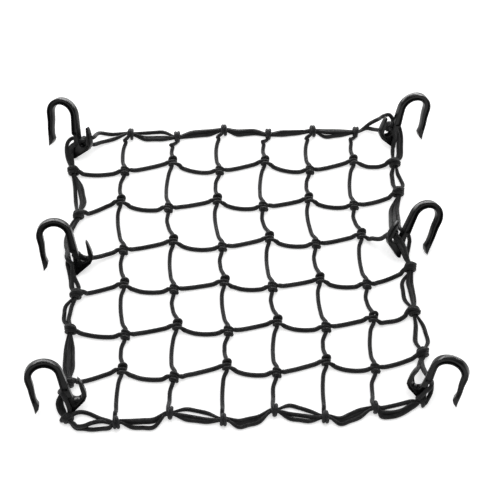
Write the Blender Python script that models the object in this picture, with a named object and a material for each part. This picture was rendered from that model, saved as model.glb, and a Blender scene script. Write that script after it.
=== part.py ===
"""Elastic cargo net, knotted from round cord, with six moulded clip-on hooks.

Metres, +Z up. The net lies on the ground plane z = 0, its left-right direction is X and its
front-back direction is Y. Row 0 is the back border and row 7 the front border, column 0 is the
left border and column 7 the right one. The hooks stand on their feet round the border.
"""
import math
from collections import namedtuple

import bmesh
import bpy
from mathutils import Matrix, Vector

# Driving dimensions
CROSS_CORD_RADIUS = 0.0025
DOWN_CORD_RADIUS = 0.0021
ROPE_RADIUS = 0.0044          # border: three cords side by side and on top of each other
ROPE_RADIUS_IN_EYE = 0.0029   # the same three cords, pulled thin where a hook grips them
KNOT_RADIUS = 0.0058
END_KNOT_RADIUS = 0.0071
END_TAIL_RADIUS = 0.0040
CORNER_KNOT_RADIUS = 0.0066
KNOT_HEIGHT = 0.0050          # centre of a mesh knot above the ground
BORDER_HEIGHT = 0.0064        # centre of a border knot above the ground
CORD_DIP = 0.0022             # how far a cord drops towards the ground between two knots
CLEARANCE = 0.0003            # between touching pieces
LAST_ROW = 7
LAST_COLUMN = 7
TO_ORIGIN = Vector((0.00233, 0.00161, 0.0))   # brings the middle of the box round it all to x = y = 0

# Half lengths of a knot's lump along its cord: the full width, then back to the bare cord
KNOT_FLAT = 0.0034
KNOT_TAPER = 0.0062
END_KNOT_FLAT = 0.0046
END_KNOT_TAPER = 0.0080
END_TAIL_LENGTH = 0.0068

# One line for each row of knots, back to front. Even and odd knots of a row lie in turn behind and
# in front of the row's own line, by its zigzag.
#   y: the row's line at mid width, rise: its climb per column, shift: sideways
#   left, right: the row's two knots on the side borders
Row = namedtuple("Row", "y rise zigzag shift left right")
ROWS = (
    Row(0.1920, 0.0012, 0.0032, -0.0010, None, None),
    Row(0.1425, 0.0004, 0.0070, -0.0055, (-0.212, 0.133), (0.185, 0.146)),
    Row(0.0860, 0.0009, 0.0055, -0.0080, (-0.201, 0.068), (0.187, 0.101)),
    Row(0.0290, 0.0022, 0.0055, -0.0010, None, None),
    Row(-0.0295, 0.0017, 0.0045, 0.0020, (-0.196, -0.044), (0.194, -0.008)),
    Row(-0.0860, 0.0025, 0.0050, 0.0070, (-0.199, -0.092), (0.194, -0.067)),
    Row(-0.1410, 0.0027, 0.0060, 0.0055, (-0.197, -0.156), (0.200, -0.122)),
    Row(-0.1985, 0.0017, 0.0045, 0.0020, None, None),
)
COLUMN_X = (None, -0.1430, -0.0845, -0.0260, 0.0300, 0.0855, 0.1400, None)
HOOK_ROW = 3                                   # the row whose side knots sit at the middle hooks
FRONT_LEFT_CORNER = Vector((-0.196, -0.2045, 0.0058))
FRONT_RIGHT_CORNER = Vector((0.193, -0.1895, 0.0058))

# Slopes of a cord where it leaves and reaches a knot, in degrees from straight across
Slopes = namedtuple("Slopes", "leave reach")
CROSS_BACK_KNOT = Slopes(-32.0, 12.0)          # a knot that lies behind its row's line
CROSS_FRONT_KNOT = Slopes(8.0, 2.0)
CROSS_LEFT_END = {True: -16.0, False: 8.0}     # odd rows sag at the border, even rows run straight
CROSS_RIGHT_END = {True: 14.0, False: 30.0}
DOWN_BACK_KNOT = Slopes(14.0, -8.0)            # down cords bow to the left, positive is left
DOWN_FRONT_KNOT = Slopes(18.0, -24.0)
DOWN_BACK_END = 30.0
DOWN_FRONT_END = -4.0

# Hook outline in its own plane: x across, y up, origin at the centre of the big bend,
# for a hook whose mouth is on the left
BEND_OUTER = 0.0210
BEND_INNER = 0.0135
HOOK_THICKNESS = 0.0080
EYE_X = 0.0262
EYE_Y = -0.0340
EYE_RADIUS = 0.0053
CHANNEL_DEPTH = 0.0023                         # recess in each face, which leaves an I-section
CHANNEL_HALF_WIDTH = 0.0019
BEND_STEPS = 15                                # odd, so a flat lies across the crown of the bend
EYE_STEPS = 6
FOOT_SINK = 0.0004                             # the foot's tip is cut flat by this much

# Where each hook stands. x, y: the ground point under the middle of its big bend;
# side: +1 with its mouth to the left, -1 to the right; roll: turned in its own plane;
# lean: back from upright; yaw: about the vertical. Degrees.
Hook = namedtuple("Hook", "name x y side roll lean yaw")
HOOKS = {
    "back_left": Hook("hook_back_left", -0.225, 0.192, 1, 18, 28, -28),
    "middle_left": Hook("hook_middle_left", -0.220, 0.010, 1, 10, 27, 2),
    "front_left": Hook("hook_front_left", -0.217, -0.173, 1, 11, 27, 8),
    "back_right": Hook("hook_back_right", 0.208, 0.199, -1, 19, 17, 18),
    "middle_right": Hook("hook_middle_right", 0.211, 0.038, -1, 36, 28, 22),
    "front_right": Hook("hook_front_right", 0.220, -0.169, -1, 8, 18, -20),
}
EYE_TO_STRAIGHT = 0.0085                       # the rope is straight this far each side of an eye
EYE_TO_KNOT = 0.0130                           # from an eye to the knot tied behind its hook
ROPE_FALL = 15.0                               # degrees that the rope falls backwards in an eye


def clear_scene():
    for old in list(bpy.data.objects):
        bpy.data.objects.remove(old)


def new_collection(name):
    collection = bpy.data.collections.new(name)
    bpy.context.scene.collection.children.link(collection)
    return collection


def plastic_material():
    material = bpy.data.materials.new("black moulded nylon")
    material.use_nodes = True
    shader = material.node_tree.nodes["Principled BSDF"]
    shader.inputs["Base Color"].default_value = (0.012, 0.012, 0.013, 1.0)
    shader.inputs["Roughness"].default_value = 0.30
    shader.inputs["Metallic"].default_value = 0.0
    return material


def cord_material(name, grey):
    material = bpy.data.materials.new(name)
    material.use_nodes = True
    shader = material.node_tree.nodes["Principled BSDF"]
    shader.inputs["Base Color"].default_value = (grey, grey, grey, 1.0)
    shader.inputs["Roughness"].default_value = 0.75
    shader.inputs["Metallic"].default_value = 0.0
    return material


# Hooks

def arc(centre_x, centre_y, radius, start, end, steps):
    points = []
    for step in range(steps + 1):
        angle = math.radians(start + (end - start) * step / steps)
        points.append((centre_x + radius * math.cos(angle), centre_y + radius * math.sin(angle)))
    return points


def hook_outline():
    points = [(-0.0240, -0.0420), (-0.0232, -0.0340), (-0.0225, -0.0200)]   # outside of the arm
    points += arc(0.0, 0.0, BEND_OUTER, 180.0, 0.0, BEND_STEPS)
    points += [(0.0207, -0.0250)]                                           # back of the shank
    points += arc(EYE_X, EYE_Y, EYE_RADIUS, 180.0, 360.0, EYE_STEPS)
    points += [(0.0330, -0.0140), (0.0350, -0.0180), (0.0370, -0.0310)]     # tip of the eye's arm
    points += [(0.0360, -0.0380), (0.0320, -0.0435), (0.0125, -0.0555), (0.0090, -0.0550)]  # foot
    points += [(0.0110, -0.0440), (0.0136, -0.0320), (0.0145, -0.0260)]     # front of the shank
    points += [(0.0116, -0.0235), (0.0126, -0.0120)]                        # shoulder
    points += arc(0.0, 0.0, BEND_INNER, 0.0, 180.0, BEND_STEPS)
    points += [(-0.0155, -0.0200), (-0.0164, -0.0290), (-0.0152, -0.0330), (-0.0180, -0.0370)]
    return points


def bend_channel_outline():
    middle = (BEND_OUTER + BEND_INNER) / 2
    outer = middle + CHANNEL_HALF_WIDTH
    inner = middle - CHANNEL_HALF_WIDTH
    points = [(-0.0210, -0.0290), (-0.0205, -0.0180)]
    points += arc(0.0, 0.0, outer, 180.0, 0.0, BEND_STEPS)
    points += [(0.0187, -0.0190), (0.0150, -0.0190)]
    points += arc(0.0, 0.0, inner, 0.0, 180.0, BEND_STEPS)
    points += [(-0.0172, -0.0180), (-0.0182, -0.0290)]
    return points


def foot_channel_outline():
    return [(0.0142, -0.0508), (0.0162, -0.0375), (0.0205, -0.0416), (0.0275, -0.0426)]


def flat_outline(name, outline, side, thickness, offset=0.0):
    """A filled flat curve of the outline, offset along its own thickness."""
    curve = bpy.data.curves.new(name, "CURVE")
    curve.dimensions = "2D"
    curve.fill_mode = "BOTH"
    curve.extrude = thickness / 2
    spline = curve.splines.new("POLY")
    spline.points.add(len(outline) - 1)
    for point, (across, up) in zip(spline.points, outline):
        point.co = (across * side, up, 0.0, 1.0)
    spline.use_cyclic_u = True
    flat = bpy.data.objects.new(name, curve)
    flat.matrix_world = Matrix.Translation((0.0, 0.0, offset))
    return flat


def hook_turn(hook):
    turn = Matrix.Rotation(math.radians(hook.yaw), 4, "Z")
    turn = turn @ Matrix.Rotation(math.radians(-hook.lean), 4, "X")
    turn = turn @ Matrix.Rotation(math.radians(-hook.roll * hook.side), 4, "Y")
    return turn @ Matrix.Rotation(math.radians(90.0), 4, "X")


def hook_height(hook):
    """Height of the big bend's centre that puts the foot's lowest point just under the ground."""
    turn = hook_turn(hook)
    lowest = min(
        (turn @ Vector((across * hook.side, up, face * HOOK_THICKNESS / 2))).z
        for across, up in hook_outline() for face in (-1, 1)
    )
    return -lowest - FOOT_SINK


def hook_matrix(hook):
    return Matrix.Translation((hook.x, hook.y, hook_height(hook))) @ hook_turn(hook)


def make_hook(hook, material, parts, cutters, ground):
    body = flat_outline(hook.name, hook_outline(), hook.side, HOOK_THICKNESS)
    body.matrix_world = hook_matrix(hook)
    body = curve_to_mesh(body, parts)
    body.data.materials.append(material)
    outlines = {"bend": bend_channel_outline(), "foot": foot_channel_outline()}
    for face in (-1, 1):
        for channel, outline in outlines.items():
            name = f"cutter_{hook.name}_{channel}_{'front' if face > 0 else 'back'}"
            cutter = flat_outline(
                name, outline, hook.side, 2 * CHANNEL_DEPTH, face * HOOK_THICKNESS / 2)
            cutter.matrix_world = hook_matrix(hook) @ cutter.matrix_world
            cut(body, curve_to_mesh(cutter, cutters))
    cut(body, ground)
    return body


# Cords and knots

def eye_centre(hook):
    return hook_matrix(hook) @ Vector((EYE_X * hook.side, EYE_Y, 0.0))


def rope_direction(hook):
    """Way from front to back through the hook's eye."""
    turn = Matrix.Rotation(math.radians(hook.yaw), 4, "Z")
    turn = turn @ Matrix.Rotation(math.radians(-ROPE_FALL), 4, "X")
    return (turn @ Vector((0.0, 1.0, 0.0))).normalized()


def knot_behind(hook):
    return eye_centre(hook) + rope_direction(hook) * EYE_TO_KNOT


def is_back_knot(row, column):
    return (row + column) % 2 == 1


def knot(row, column):
    """Centre of the knot at a row and a column."""
    line = ROWS[row]
    if column in (0, LAST_COLUMN):
        if row == HOOK_ROW:
            return knot_behind(HOOKS["middle_left" if column == 0 else "middle_right"])
        x, y = line.left if column == 0 else line.right
        return Vector((x, y, BORDER_HEIGHT))
    zigzag = line.zigzag if is_back_knot(row, column) else -line.zigzag
    y = line.y + line.rise * (column - LAST_COLUMN / 2) + zigzag
    height = BORDER_HEIGHT if row in (0, LAST_ROW) else KNOT_HEIGHT
    return Vector((COLUMN_X[column] + line.shift, y, height))


def between(start, end, leave, reach, part):
    """Point on the smooth span between two knots, at a part of its way, dipping to the ground."""
    length = (end - start).length
    square, cube = part * part, part ** 3
    point = start * (2 * cube - 3 * square + 1) + end * (3 * square - 2 * cube)
    point += leave * length * (cube - 2 * square + part)
    point += reach * length * (cube - square)
    point.z = start.z + (end.z - start.z) * part - CORD_DIP * 4 * part * (1 - part)
    return point


def cross_direction(degrees):
    angle = math.radians(degrees)
    return Vector((math.cos(angle), math.sin(angle), 0.0))


def down_direction(degrees):
    angle = math.radians(degrees)
    return Vector((-math.sin(angle), -math.cos(angle), 0.0))


def cross_slopes(row, column):
    odd = row % 2 == 1
    if column == 0:
        return Slopes(CROSS_LEFT_END[odd], 0.0)
    if column == LAST_COLUMN:
        return Slopes(0.0, CROSS_RIGHT_END[odd])
    return CROSS_BACK_KNOT if is_back_knot(row, column) else CROSS_FRONT_KNOT


def down_slopes(row, column):
    if row == 0:
        return Slopes(DOWN_BACK_END, 0.0)
    if row == LAST_ROW:
        return Slopes(0.0, DOWN_FRONT_END)
    return DOWN_BACK_KNOT if is_back_knot(row, column) else DOWN_FRONT_KNOT


def end_knot(centre, inward, radius):
    """Rings of the knot that ends a cord on the border: its tail, then the lump."""
    return [
        (centre - inward * END_TAIL_LENGTH, END_TAIL_RADIUS),
        (centre - inward * END_KNOT_FLAT, END_KNOT_RADIUS),
        (centre + inward * END_KNOT_FLAT, END_KNOT_RADIUS),
        (centre + inward * END_KNOT_TAPER, radius),
    ]


def cord_rings(knots, slopes, direction, radius, parts_of_span, lumps):
    """Points and radii of a cord that ends in knots on two borders."""
    rings = []
    last = len(knots) - 2
    for index in range(len(knots) - 1):
        start, end = knots[index], knots[index + 1]
        leave = direction(slopes[index].leave)
        reach = direction(slopes[index + 1].reach)
        length = (end - start).length
        if index == 0:
            inward = (between(start, end, leave, reach, END_KNOT_TAPER / length) - start)
            rings += end_knot(start, inward.normalized(), radius)
        elif lumps:
            for distance, ring_radius in ((KNOT_FLAT, KNOT_RADIUS), (KNOT_TAPER, radius)):
                rings.append((between(start, end, leave, reach, distance / length), ring_radius))
        else:
            rings.append((start.copy(), radius))
        for part in parts_of_span:
            rings.append((between(start, end, leave, reach, part), radius))
        if index == last:
            inward = (between(start, end, leave, reach, 1 - END_KNOT_TAPER / length) - end)
            rings += reversed(end_knot(end, inward.normalized(), radius))
        elif lumps:
            for distance, ring_radius in ((KNOT_TAPER, radius), (KNOT_FLAT, KNOT_RADIUS)):
                rings.append((between(start, end, leave, reach, 1 - distance / length), ring_radius))
    return rings


def cross_cord_rings(row):
    columns = range(LAST_COLUMN + 1)
    return cord_rings(
        [knot(row, column) for column in columns],
        [cross_slopes(row, column) for column in columns],
        cross_direction, CROSS_CORD_RADIUS, (0.33, 0.64), lumps=True)


def down_cord_rings(column):
    rows = range(LAST_ROW + 1)
    return cord_rings(
        [knot(row, column) for row in rows],
        [down_slopes(row, column) for row in rows],
        down_direction, DOWN_CORD_RADIUS, (0.33, 0.67), lumps=False)


def through_eye(hook):
    centre = eye_centre(hook)
    step = rope_direction(hook) * EYE_TO_STRAIGHT
    return [
        (centre - step, ROPE_RADIUS_IN_EYE),
        (centre, ROPE_RADIUS_IN_EYE),
        (centre + step * 0.6, ROPE_RADIUS_IN_EYE),
    ]


def side_rope_rings(column, side, front_corner):
    """A side border, front corner to back corner, through its three hooks."""
    front, middle, back = (HOOKS[f"{place}_{side}"] for place in ("front", "middle", "back"))
    nodes = [(front_corner, ROPE_RADIUS)]
    nodes += through_eye(front)
    nodes += [(knot(row, column), ROPE_RADIUS) for row in range(LAST_ROW - 1, HOOK_ROW, -1)]
    nodes += through_eye(middle)
    nodes += [(knot(row, column), ROPE_RADIUS) for row in range(HOOK_ROW, 0, -1)]
    nodes += through_eye(back)
    nodes += [(knot_behind(back), ROPE_RADIUS)]
    rings = smooth_rings(nodes)
    return corner_knot(rings, 0) + rings[1:-1] + corner_knot(rings, -1)


def corner_knot(rings, end):
    """Rings of the lump at one end of a side border."""
    centre = rings[end][0]
    neighbour = rings[1 if end == 0 else -2][0]
    along = (neighbour - centre).normalized() * END_KNOT_FLAT
    lump = [
        (centre - along * 1.45, END_TAIL_RADIUS),
        (centre - along * 0.9, CORNER_KNOT_RADIUS),
        (centre + along * 0.9, CORNER_KNOT_RADIUS),
        (centre + along * 1.6, rings[1 if end == 0 else -2][1]),
    ]
    return lump if end == 0 else lump[::-1]


def cross_rope_rings(row, left_corner, right_corner):
    """The back or the front border, from one side border's corner knot to the other's."""
    nodes = [(left_corner, CROSS_CORD_RADIUS)]
    nodes += [(knot(row, column), ROPE_RADIUS) for column in range(1, LAST_COLUMN)]
    nodes += [(right_corner, CROSS_CORD_RADIUS)]
    return smooth_rings(nodes)


def smooth_rings(nodes, spacing=0.020):
    """Rings along the smooth curve through the nodes."""
    points = [centre for centre, _ in nodes]
    points = [points[0] * 2 - points[1]] + points + [points[-1] * 2 - points[-2]]
    rings = []
    for index in range(len(nodes) - 1):
        before, start, end, after = points[index:index + 4]
        length = (end - start).length
        leave = (end - before).normalized()
        reach = (after - start).normalized()
        steps = max(1, round(length / spacing))
        for step in range(steps):
            part = step / steps
            square, cube = part * part, part ** 3
            point = start * (2 * cube - 3 * square + 1) + end * (3 * square - 2 * cube)
            point += leave * length * (cube - 2 * square + part)
            point += reach * length * (cube - square)
            radius = nodes[index][1] + (nodes[index + 1][1] - nodes[index][1]) * part
            rings.append((point, radius))
    rings.append((nodes[-1][0].copy(), nodes[-1][1]))
    return rings


def tube(name, rings, sides, collection, extra=0.0):
    """A closed tube through the rings, grown all round and at its ends by extra."""
    curve = bpy.data.curves.new(name, "CURVE")
    curve.dimensions = "3D"
    curve.bevel_depth = 1.0
    curve.bevel_resolution = (sides - 4) // 2
    curve.use_fill_caps = True
    spline = curve.splines.new("POLY")
    spline.points.add(len(rings) - 1)
    for point, (centre, radius) in zip(spline.points, rings):
        point.co = (*centre, 1.0)
        point.radius = radius + extra
    for end, neighbour in ((0, 1), (-1, -2)):
        outward = (rings[end][0] - rings[neighbour][0]).normalized() * extra
        spline.points[end].co = (*(rings[end][0] + outward), 1.0)
    return curve_to_mesh(bpy.data.objects.new(name, curve), collection)


def curve_to_mesh(source, collection):
    """The curve object's surface as a closed mesh object, in the same place."""
    name = source.name
    collection.objects.link(source)
    graph = bpy.context.evaluated_depsgraph_get()
    mesh = bpy.data.meshes.new_from_object(source.evaluated_get(graph))
    solid = bmesh.new()
    solid.from_mesh(mesh)
    bmesh.ops.remove_doubles(solid, verts=solid.verts, dist=0.00001)
    bmesh.ops.recalc_face_normals(solid, faces=solid.faces)
    solid.to_mesh(mesh)
    solid.free()
    place = source.matrix_world.copy()
    curve = source.data
    bpy.data.objects.remove(source)
    bpy.data.curves.remove(curve)
    result = bpy.data.objects.new(name, mesh)
    result.matrix_world = place
    collection.objects.link(result)
    mesh.shade_smooth()
    mesh.set_sharp_from_angle(angle=math.radians(40.0))
    return result


def cut(body, cutter):
    cutter.display_type = "WIRE"
    cutter.hide_render = True
    boolean = body.modifiers.new(f"cut {cutter.name}", "BOOLEAN")
    boolean.operation = "DIFFERENCE"
    boolean.solver = "EXACT"
    boolean.object = cutter


def ground_block(collection):
    """Everything under the ground, which trims the knots and the hooks' feet flat."""
    size, depth = 0.60, 0.02
    bpy.ops.mesh.primitive_cube_add(size=1.0, location=(0.0, 0.0, -depth / 2))
    block = bpy.context.object
    block.name = "cutter_ground"
    block.scale = (size, size, depth)
    bpy.ops.object.transform_apply(location=False, rotation=False, scale=True)
    for holder in list(block.users_collection):
        holder.objects.unlink(block)
    collection.objects.link(block)
    return block


def make_borders(parts, material):
    """The four border ropes, as name: (object, rings)."""
    left_back, right_back = knot_behind(HOOKS["back_left"]), knot_behind(HOOKS["back_right"])
    routes = {
        "border_left": side_rope_rings(0, "left", FRONT_LEFT_CORNER),
        "border_right": side_rope_rings(LAST_COLUMN, "right", FRONT_RIGHT_CORNER),
        "border_back": cross_rope_rings(0, left_back, right_back),
        "border_front": cross_rope_rings(LAST_ROW, FRONT_LEFT_CORNER, FRONT_RIGHT_CORNER),
    }
    borders = {}
    for name, rings in routes.items():
        rope = tube(name, rings, 6, parts)
        rope.data.materials.append(material)
        borders[name] = (rope, rings)
    return borders


def make_net(parts, cutters, ground):
    cross_look = cord_material("black braided cord, cross", 0.018)
    down_look = cord_material("black braided cord, down", 0.030)
    rope_look = cord_material("black braided cord, border", 0.020)
    borders = make_borders(parts, rope_look)
    inflated = {
        name: tube(f"cutter_{name}", rings, 6, cutters, CLEARANCE)
        for name, (_, rings) in borders.items()
    }
    down_cutters = []
    for column in range(1, LAST_COLUMN):
        rings = down_cord_rings(column)
        cord = tube(f"down_cord_{column}", rings, 6, parts)
        cord.data.materials.append(down_look)
        for border in ("border_back", "border_front"):
            cut(cord, inflated[border])
        cut(cord, ground)
        bare = [(centre, DOWN_CORD_RADIUS) for centre, _ in rings[4:-4]]
        down_cutters.append(tube(f"cutter_down_cord_{column}", bare, 6, cutters, CLEARANCE))
    for row in range(1, LAST_ROW):
        cord = tube(f"cross_cord_{row}", cross_cord_rings(row), 6, parts)
        cord.data.materials.append(cross_look)
        for cutter in down_cutters:
            cut(cord, cutter)
        for border in ("border_left", "border_right"):
            cut(cord, inflated[border])
        cut(cord, ground)
    for side in ("border_left", "border_right"):
        for cutter in ("border_back", "border_front"):
            cut(borders[side][0], inflated[cutter])
        cut(borders[side][0], ground)


def main():
    clear_scene()
    parts = new_collection("cargo_net")
    cutters = new_collection("cutters")
    ground = ground_block(cutters)
    make_net(parts, cutters, ground)
    plastic = plastic_material()
    for hook in HOOKS.values():
        make_hook(hook, plastic, parts, cutters, ground)
    middle = bpy.data.objects.new("cargo_net_middle", None)
    parts.objects.link(middle)
    for piece in list(parts.objects) + list(cutters.objects):
        if piece is not middle:
            piece.parent = middle
    middle.location = TO_ORIGIN


main()
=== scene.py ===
"""Elastic cargo net: braided cords, tied knots and moulded clip-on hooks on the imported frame."""
import math
import random
from collections import namedtuple

import bmesh
import bpy
import numpy as np
from mathutils import Matrix, Vector


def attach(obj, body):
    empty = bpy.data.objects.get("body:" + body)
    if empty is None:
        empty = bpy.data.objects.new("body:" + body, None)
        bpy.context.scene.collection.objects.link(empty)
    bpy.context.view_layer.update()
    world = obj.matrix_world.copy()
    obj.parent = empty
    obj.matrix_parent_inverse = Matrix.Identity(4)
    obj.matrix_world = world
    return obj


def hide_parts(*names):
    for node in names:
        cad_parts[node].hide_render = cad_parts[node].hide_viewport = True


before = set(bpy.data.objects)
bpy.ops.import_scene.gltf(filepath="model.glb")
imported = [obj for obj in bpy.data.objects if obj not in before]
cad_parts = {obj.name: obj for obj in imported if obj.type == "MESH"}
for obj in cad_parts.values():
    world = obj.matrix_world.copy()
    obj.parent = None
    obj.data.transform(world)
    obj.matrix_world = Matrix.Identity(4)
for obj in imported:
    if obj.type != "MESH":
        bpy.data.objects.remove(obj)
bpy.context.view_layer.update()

MM = 0.001
RIGHT = Vector((1.0, 0.0, 0.0))
BACK = Vector((0.0, 1.0, 0.0))
UP = Vector((0.0, 0.0, 1.0))

# The net's layout, as its solids have it apart from the left end of row 6. Metres, row 0 at the back,
# column 0 at the left. A separate program fitted these numbers, which were then rounded.
TO_ORIGIN = Vector((0.00233, 0.00161, 0.0))
LAST_ROW = 7
LAST_COLUMN = 7
HOOK_ROW = 3                                   # the row whose side knots sit at the middle hooks
Row = namedtuple("Row", "y rise zigzag shift left right")
ROWS = (
    Row(0.1920, 0.0012, 0.0032, -0.0010, None, None),
    Row(0.1425, 0.0004, 0.0070, -0.0055, (-0.212, 0.133), (0.185, 0.146)),
    Row(0.0860, 0.0009, 0.0055, -0.0080, (-0.201, 0.068), (0.187, 0.101)),
    Row(0.0290, 0.0022, 0.0055, -0.0010, None, None),
    Row(-0.0295, 0.0017, 0.0045, 0.0020, (-0.196, -0.044), (0.194, -0.008)),
    Row(-0.0860, 0.0025, 0.0050, 0.0070, (-0.199, -0.092), (0.194, -0.067)),
    Row(-0.1410, 0.0027, 0.0060, 0.0055, (-0.1965, -0.1590), (0.200, -0.122)),
    Row(-0.1985, 0.0017, 0.0045, 0.0020, None, None),
)
BACK_BORDER_LOOSE = {3: 0.0040, 4: 0.0020, 6: 0.0030}     # where the back border's knots lie further back
COLUMN_X = (None, -0.1430, -0.0845, -0.0260, 0.0300, 0.0855, 0.1400, None)

# Cords: their radii lying free, and pulled thin inside a tight knot
CROSS_CORD = 0.00278
DOWN_CORD = 0.00240
BORDER_CORD = 0.00245
CROSS_IN_KNOT = 0.00212
DOWN_IN_KNOT = 0.00150
DOWN_IN_END = 0.00205
BORDER_IN_KNOT = 0.00145
BORDER_BY_HOOK = 0.00250
CORD_SIDES = 12
RING_SPACING = 0.0010
KNOT_AXIS = 0.00545                            # height of a down cord's middle inside a knot
BORDER_AXIS = 0.0064
CORD_DIP = 0.0028                              # from a knot's middle down to the cord on the ground
END_ROUNDING = 0.0009
END_NARROWING = 0.55                           # how much narrower a cut end is, on its squared radius
CURVE_STEPS = 12                               # points on the curve between two points of a route

# Slopes of a cord where it leaves and reaches a knot, in degrees from straight across
Slopes = namedtuple("Slopes", "leave reach")
CROSS_BACK_KNOT = Slopes(-42.0, 12.0)
CROSS_FRONT_KNOT = Slopes(10.0, 13.0)
CROSS_LEFT_END = (None, -16.0, 8.0, -16.0, 8.0, -16.0, 3.0)     # by row
CROSS_RIGHT_END = (None, 14.0, 30.0, 20.0, 30.0, 36.0, 26.0)
DOWN_BACK_KNOT = Slopes(17.0, -14.0)
DOWN_FRONT_KNOT = Slopes(25.0, -18.0)
DOWN_BACK_END = 36.0
DOWN_FRONT_END = -4.0
END_LEAN = 0.85                                # how much of its slope a cord has as it leaves an end knot
SPAN_PARTS = (0.22, 0.36, 0.50, 0.64, 0.78)    # where a span's own points lie between two knots
KNOT_REACH = 0.0118                            # the least distance of such a point from a knot

# A cord's way round the cord that it grips. turn: degrees round it, 0 at the right, 90 on top;
# along: millimetres towards the back; out: millimetres from its middle line
Wrap = namedtuple("Wrap", "turn along out")
BACK_KNOT_WRAPS = (
    Wrap(184, -1.9, 9.0), Wrap(150, -1.6, 5.0), Wrap(90, -0.9, 3.6), Wrap(0, 0.2, 3.5),
    Wrap(-90, 2.2, 3.4), Wrap(-180, 3.4, 3.7), Wrap(-240, 4.3, 4.0), Wrap(-300, 5.0, 4.5),
    Wrap(-360, 4.0, 3.9), Wrap(-450, -0.6, 3.4), Wrap(-540, -5.0, 3.8), Wrap(-600, -5.8, 4.1),
    Wrap(-660, -5.3, 4.1), Wrap(-705, -5.0, 5.6), Wrap(-718, -6.6, 9.0),
)
FRONT_KNOT_WRAPS = (
    Wrap(180, -1.8, 9.0), Wrap(150, -1.0, 5.0), Wrap(90, -0.8, 3.6), Wrap(0, -2.0, 3.5),
    Wrap(-90, -3.6, 3.4), Wrap(-180, -4.2, 3.6), Wrap(-250, -4.8, 4.2), Wrap(-320, -5.6, 4.6),
    Wrap(-370, -5.0, 3.8), Wrap(-450, 0.2, 3.4), Wrap(-540, 3.4, 3.9), Wrap(-610, 3.2, 4.2),
    Wrap(-670, 2.0, 4.2), Wrap(-705, 1.1, 5.4), Wrap(-720, 1.5, 9.0),
)
# The knots that end a cord on a border, from the tail: 0 is the way into the net, 90 on top.
# One passes over the border's cords first, the other under them
OVER_KNOT_WRAPS = (
    Wrap(600, -0.8, 4.3), Wrap(540, 0.7, 4.2), Wrap(450, 1.7, 4.3), Wrap(400, 1.9, 4.9),
    Wrap(350, 1.6, 5.1), Wrap(270, 0.9, 4.2), Wrap(180, -0.2, 4.3), Wrap(90, -1.5, 4.5),
    Wrap(25, -1.5, 6.0), Wrap(0, -0.6, 9.5),
)
UNDER_KNOT_WRAPS = (
    Wrap(-690, 1.0, 4.3), Wrap(-600, 1.6, 4.5), Wrap(-520, 1.5, 4.7), Wrap(-450, 1.2, 4.2),
    Wrap(-360, 0.4, 4.3), Wrap(-270, -1.0, 4.5), Wrap(-180, -1.6, 4.4), Wrap(-90, -1.4, 4.2),
    Wrap(-40, -1.0, 5.4), Wrap(0, -0.3, 9.5),
)
# The longer knots on the side borders: over three turns, the last of them back over the others
SIDE_KNOT_WRAPS = (
    Wrap(1235, 2.8, 5.6), Wrap(1170, 0.8, 6.3), Wrap(1110, -0.8, 6.1), Wrap(1050, -1.6, 5.2),
    Wrap(990, -0.6, 4.8), Wrap(900, 2.2, 4.9), Wrap(810, 3.7, 4.4), Wrap(720, 3.0, 4.3),
    Wrap(630, 2.2, 4.2), Wrap(540, 1.4, 4.3), Wrap(450, 0.6, 4.3), Wrap(360, -0.2, 4.4),
    Wrap(270, -1.0, 4.2), Wrap(180, -1.9, 4.3), Wrap(90, -2.8, 4.4), Wrap(35, -2.2, 5.6),
    Wrap(0, -0.6, 9.5),
)
FREE_OF_KNOT = 4.8                             # millimetres out at which a cord is clear of its knot
SWELLING = 3.0                                 # further millimetres out until it has its free radius
WRAP_STEP = 30.0                               # degrees between a knot's points, halved on its curve
HELD_ALONG = (6.0, 2.5, -2.5, -6.0)            # where a knot holds a down cord, in millimetres along it
HELD_TIGHT = 5.0                               # nearer to the middle than this, it is pulled thin
DOWN_BY_KNOT = 0.95                            # a down cord's radius just outside, as a part of its own

# Hooks: outline in the hook's own plane, x across and y up, origin at the centre of the big bend,
# for a hook whose mouth is on the left. Each pair is the outer and the inner edge of the band
BEND_OUTER = 0.0210
BEND_INNER = 0.0135
HOOK_THICKNESS = 0.0080
EYE_CENTRE = Vector((0.0262, -0.0340))
EYE_RADIUS = 0.0053
BEND_STEPS = 36
BEND_TOLERANCE = 0.0008                        # of a face's middle from the middle of the bend's band
FLANGE = 0.00185                               # width of the rim beside the recessed channel
CHANNEL_DEPTH = 0.0021
CHANNEL_DRAFT = 0.00035
EDGE_ROUNDING = 0.00045
SHARP_EDGE = 32.0                              # degrees past which an edge is rounded
RIM_SHARE = 0.40                               # the most of the band's width that one rim takes
FOOT_SINK = 0.0004
Edge = namedtuple("Edge", "outer inner channel")
ARM = (
    Edge((-0.0211, -0.0080), (-0.0142, -0.0080), True),
    Edge((-0.0225, -0.0200), (-0.0166, -0.0200), True),
    Edge((-0.0229, -0.0275), (-0.0174, -0.0275), True),
    Edge((-0.0232, -0.0340), (-0.0164, -0.0330), False),
    Edge((-0.0240, -0.0420), (-0.0188, -0.0375), False),
)
SHANK = (
    Edge((0.0210, -0.0060), (0.0131, -0.0060), True),
    Edge((0.0209, -0.0120), (0.0126, -0.0120), True),
    Edge((0.0208, -0.0200), (0.0118, -0.0205), True),
    Edge((0.0207, -0.0235), (0.0116, -0.0235), True),
    Edge((0.0207, -0.0250), (0.0145, -0.0260), False),
)
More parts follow.
